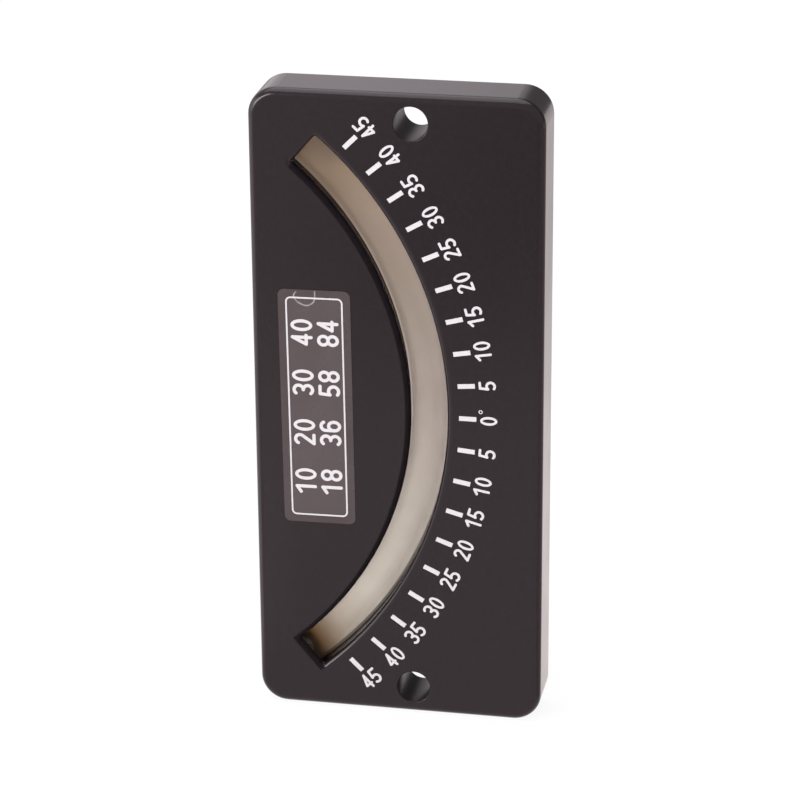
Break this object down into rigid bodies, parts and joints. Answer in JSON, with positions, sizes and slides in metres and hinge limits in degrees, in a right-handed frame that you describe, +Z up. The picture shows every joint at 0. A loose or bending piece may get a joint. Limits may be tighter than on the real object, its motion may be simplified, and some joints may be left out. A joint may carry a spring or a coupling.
{
  "type": "ball clinometer",
  "caption": "Flat black case with a curved window, a ball that rolls in a bent glass vial behind it and a printed degree scale, screwed on through two holes.",
  "frame": {"origin": "middle of the flat back of the case", "axes": "+Z up along the case's length as it stands on its short end, +Y into the wall that the back rests on, +X to the scale side, seen from the front. In use the case is turned a quarter turn so that +X points down and the vial sags"},
  "size_m": [0.054, 0.0108, 0.1216],
  "materials": {
    "case_plastic": "smooth satin black moulding",
    "cover_plastic": "fine textured black moulding",
    "screw_steel": "zinc plated",
    "vial_glass": "clear",
    "plug_rubber": "smooth",
    "sealant_resin": "cured resin",
    "reflector_plastic": "smooth tan",
    "boot_rubber": "smooth black",
    "cushion_foam": "fine foam",
    "ball_steel": "gloss black",
    "white_print": "screen printed white",
    "label_film": "smoke grey adhesive film",
    "label_print": "white print"
  },
  "bodies": {
    "case": {"front_housing": "case_plastic", "rear_cover": "cover_plastic", "cover_screw_1": "screw_steel", "cover_screw_2": "screw_steel", "cover_screw_3": "screw_steel", "cover_screw_4": "screw_steel", "vial_tube": "vial_glass", "vial_plug": "plug_rubber", "plug_sealant": "sealant_resin", "reflector_strip": "reflector_plastic", "vial_boot_upper": "boot_rubber", "vial_boot_lower": "boot_rubber", "cushion_strip": "cushion_foam", "scale_ticks": "white_print", "scale_numerals": "white_print", "degree_mark": "white_print", "label_film": "label_film", "label_border": "label_print", "label_figures": "label_print"},
    "ball": {"sensing_ball": "ball_steel"}
  },
  "joints": [
    {"name": "ball_travel", "type": "hinge", "parent": "case", "child": "ball", "pos_m": [-0.0597, -0.00535, 0], "axis": [0, -1, 0], "range_deg": [0, 100.7]}
  ]
}
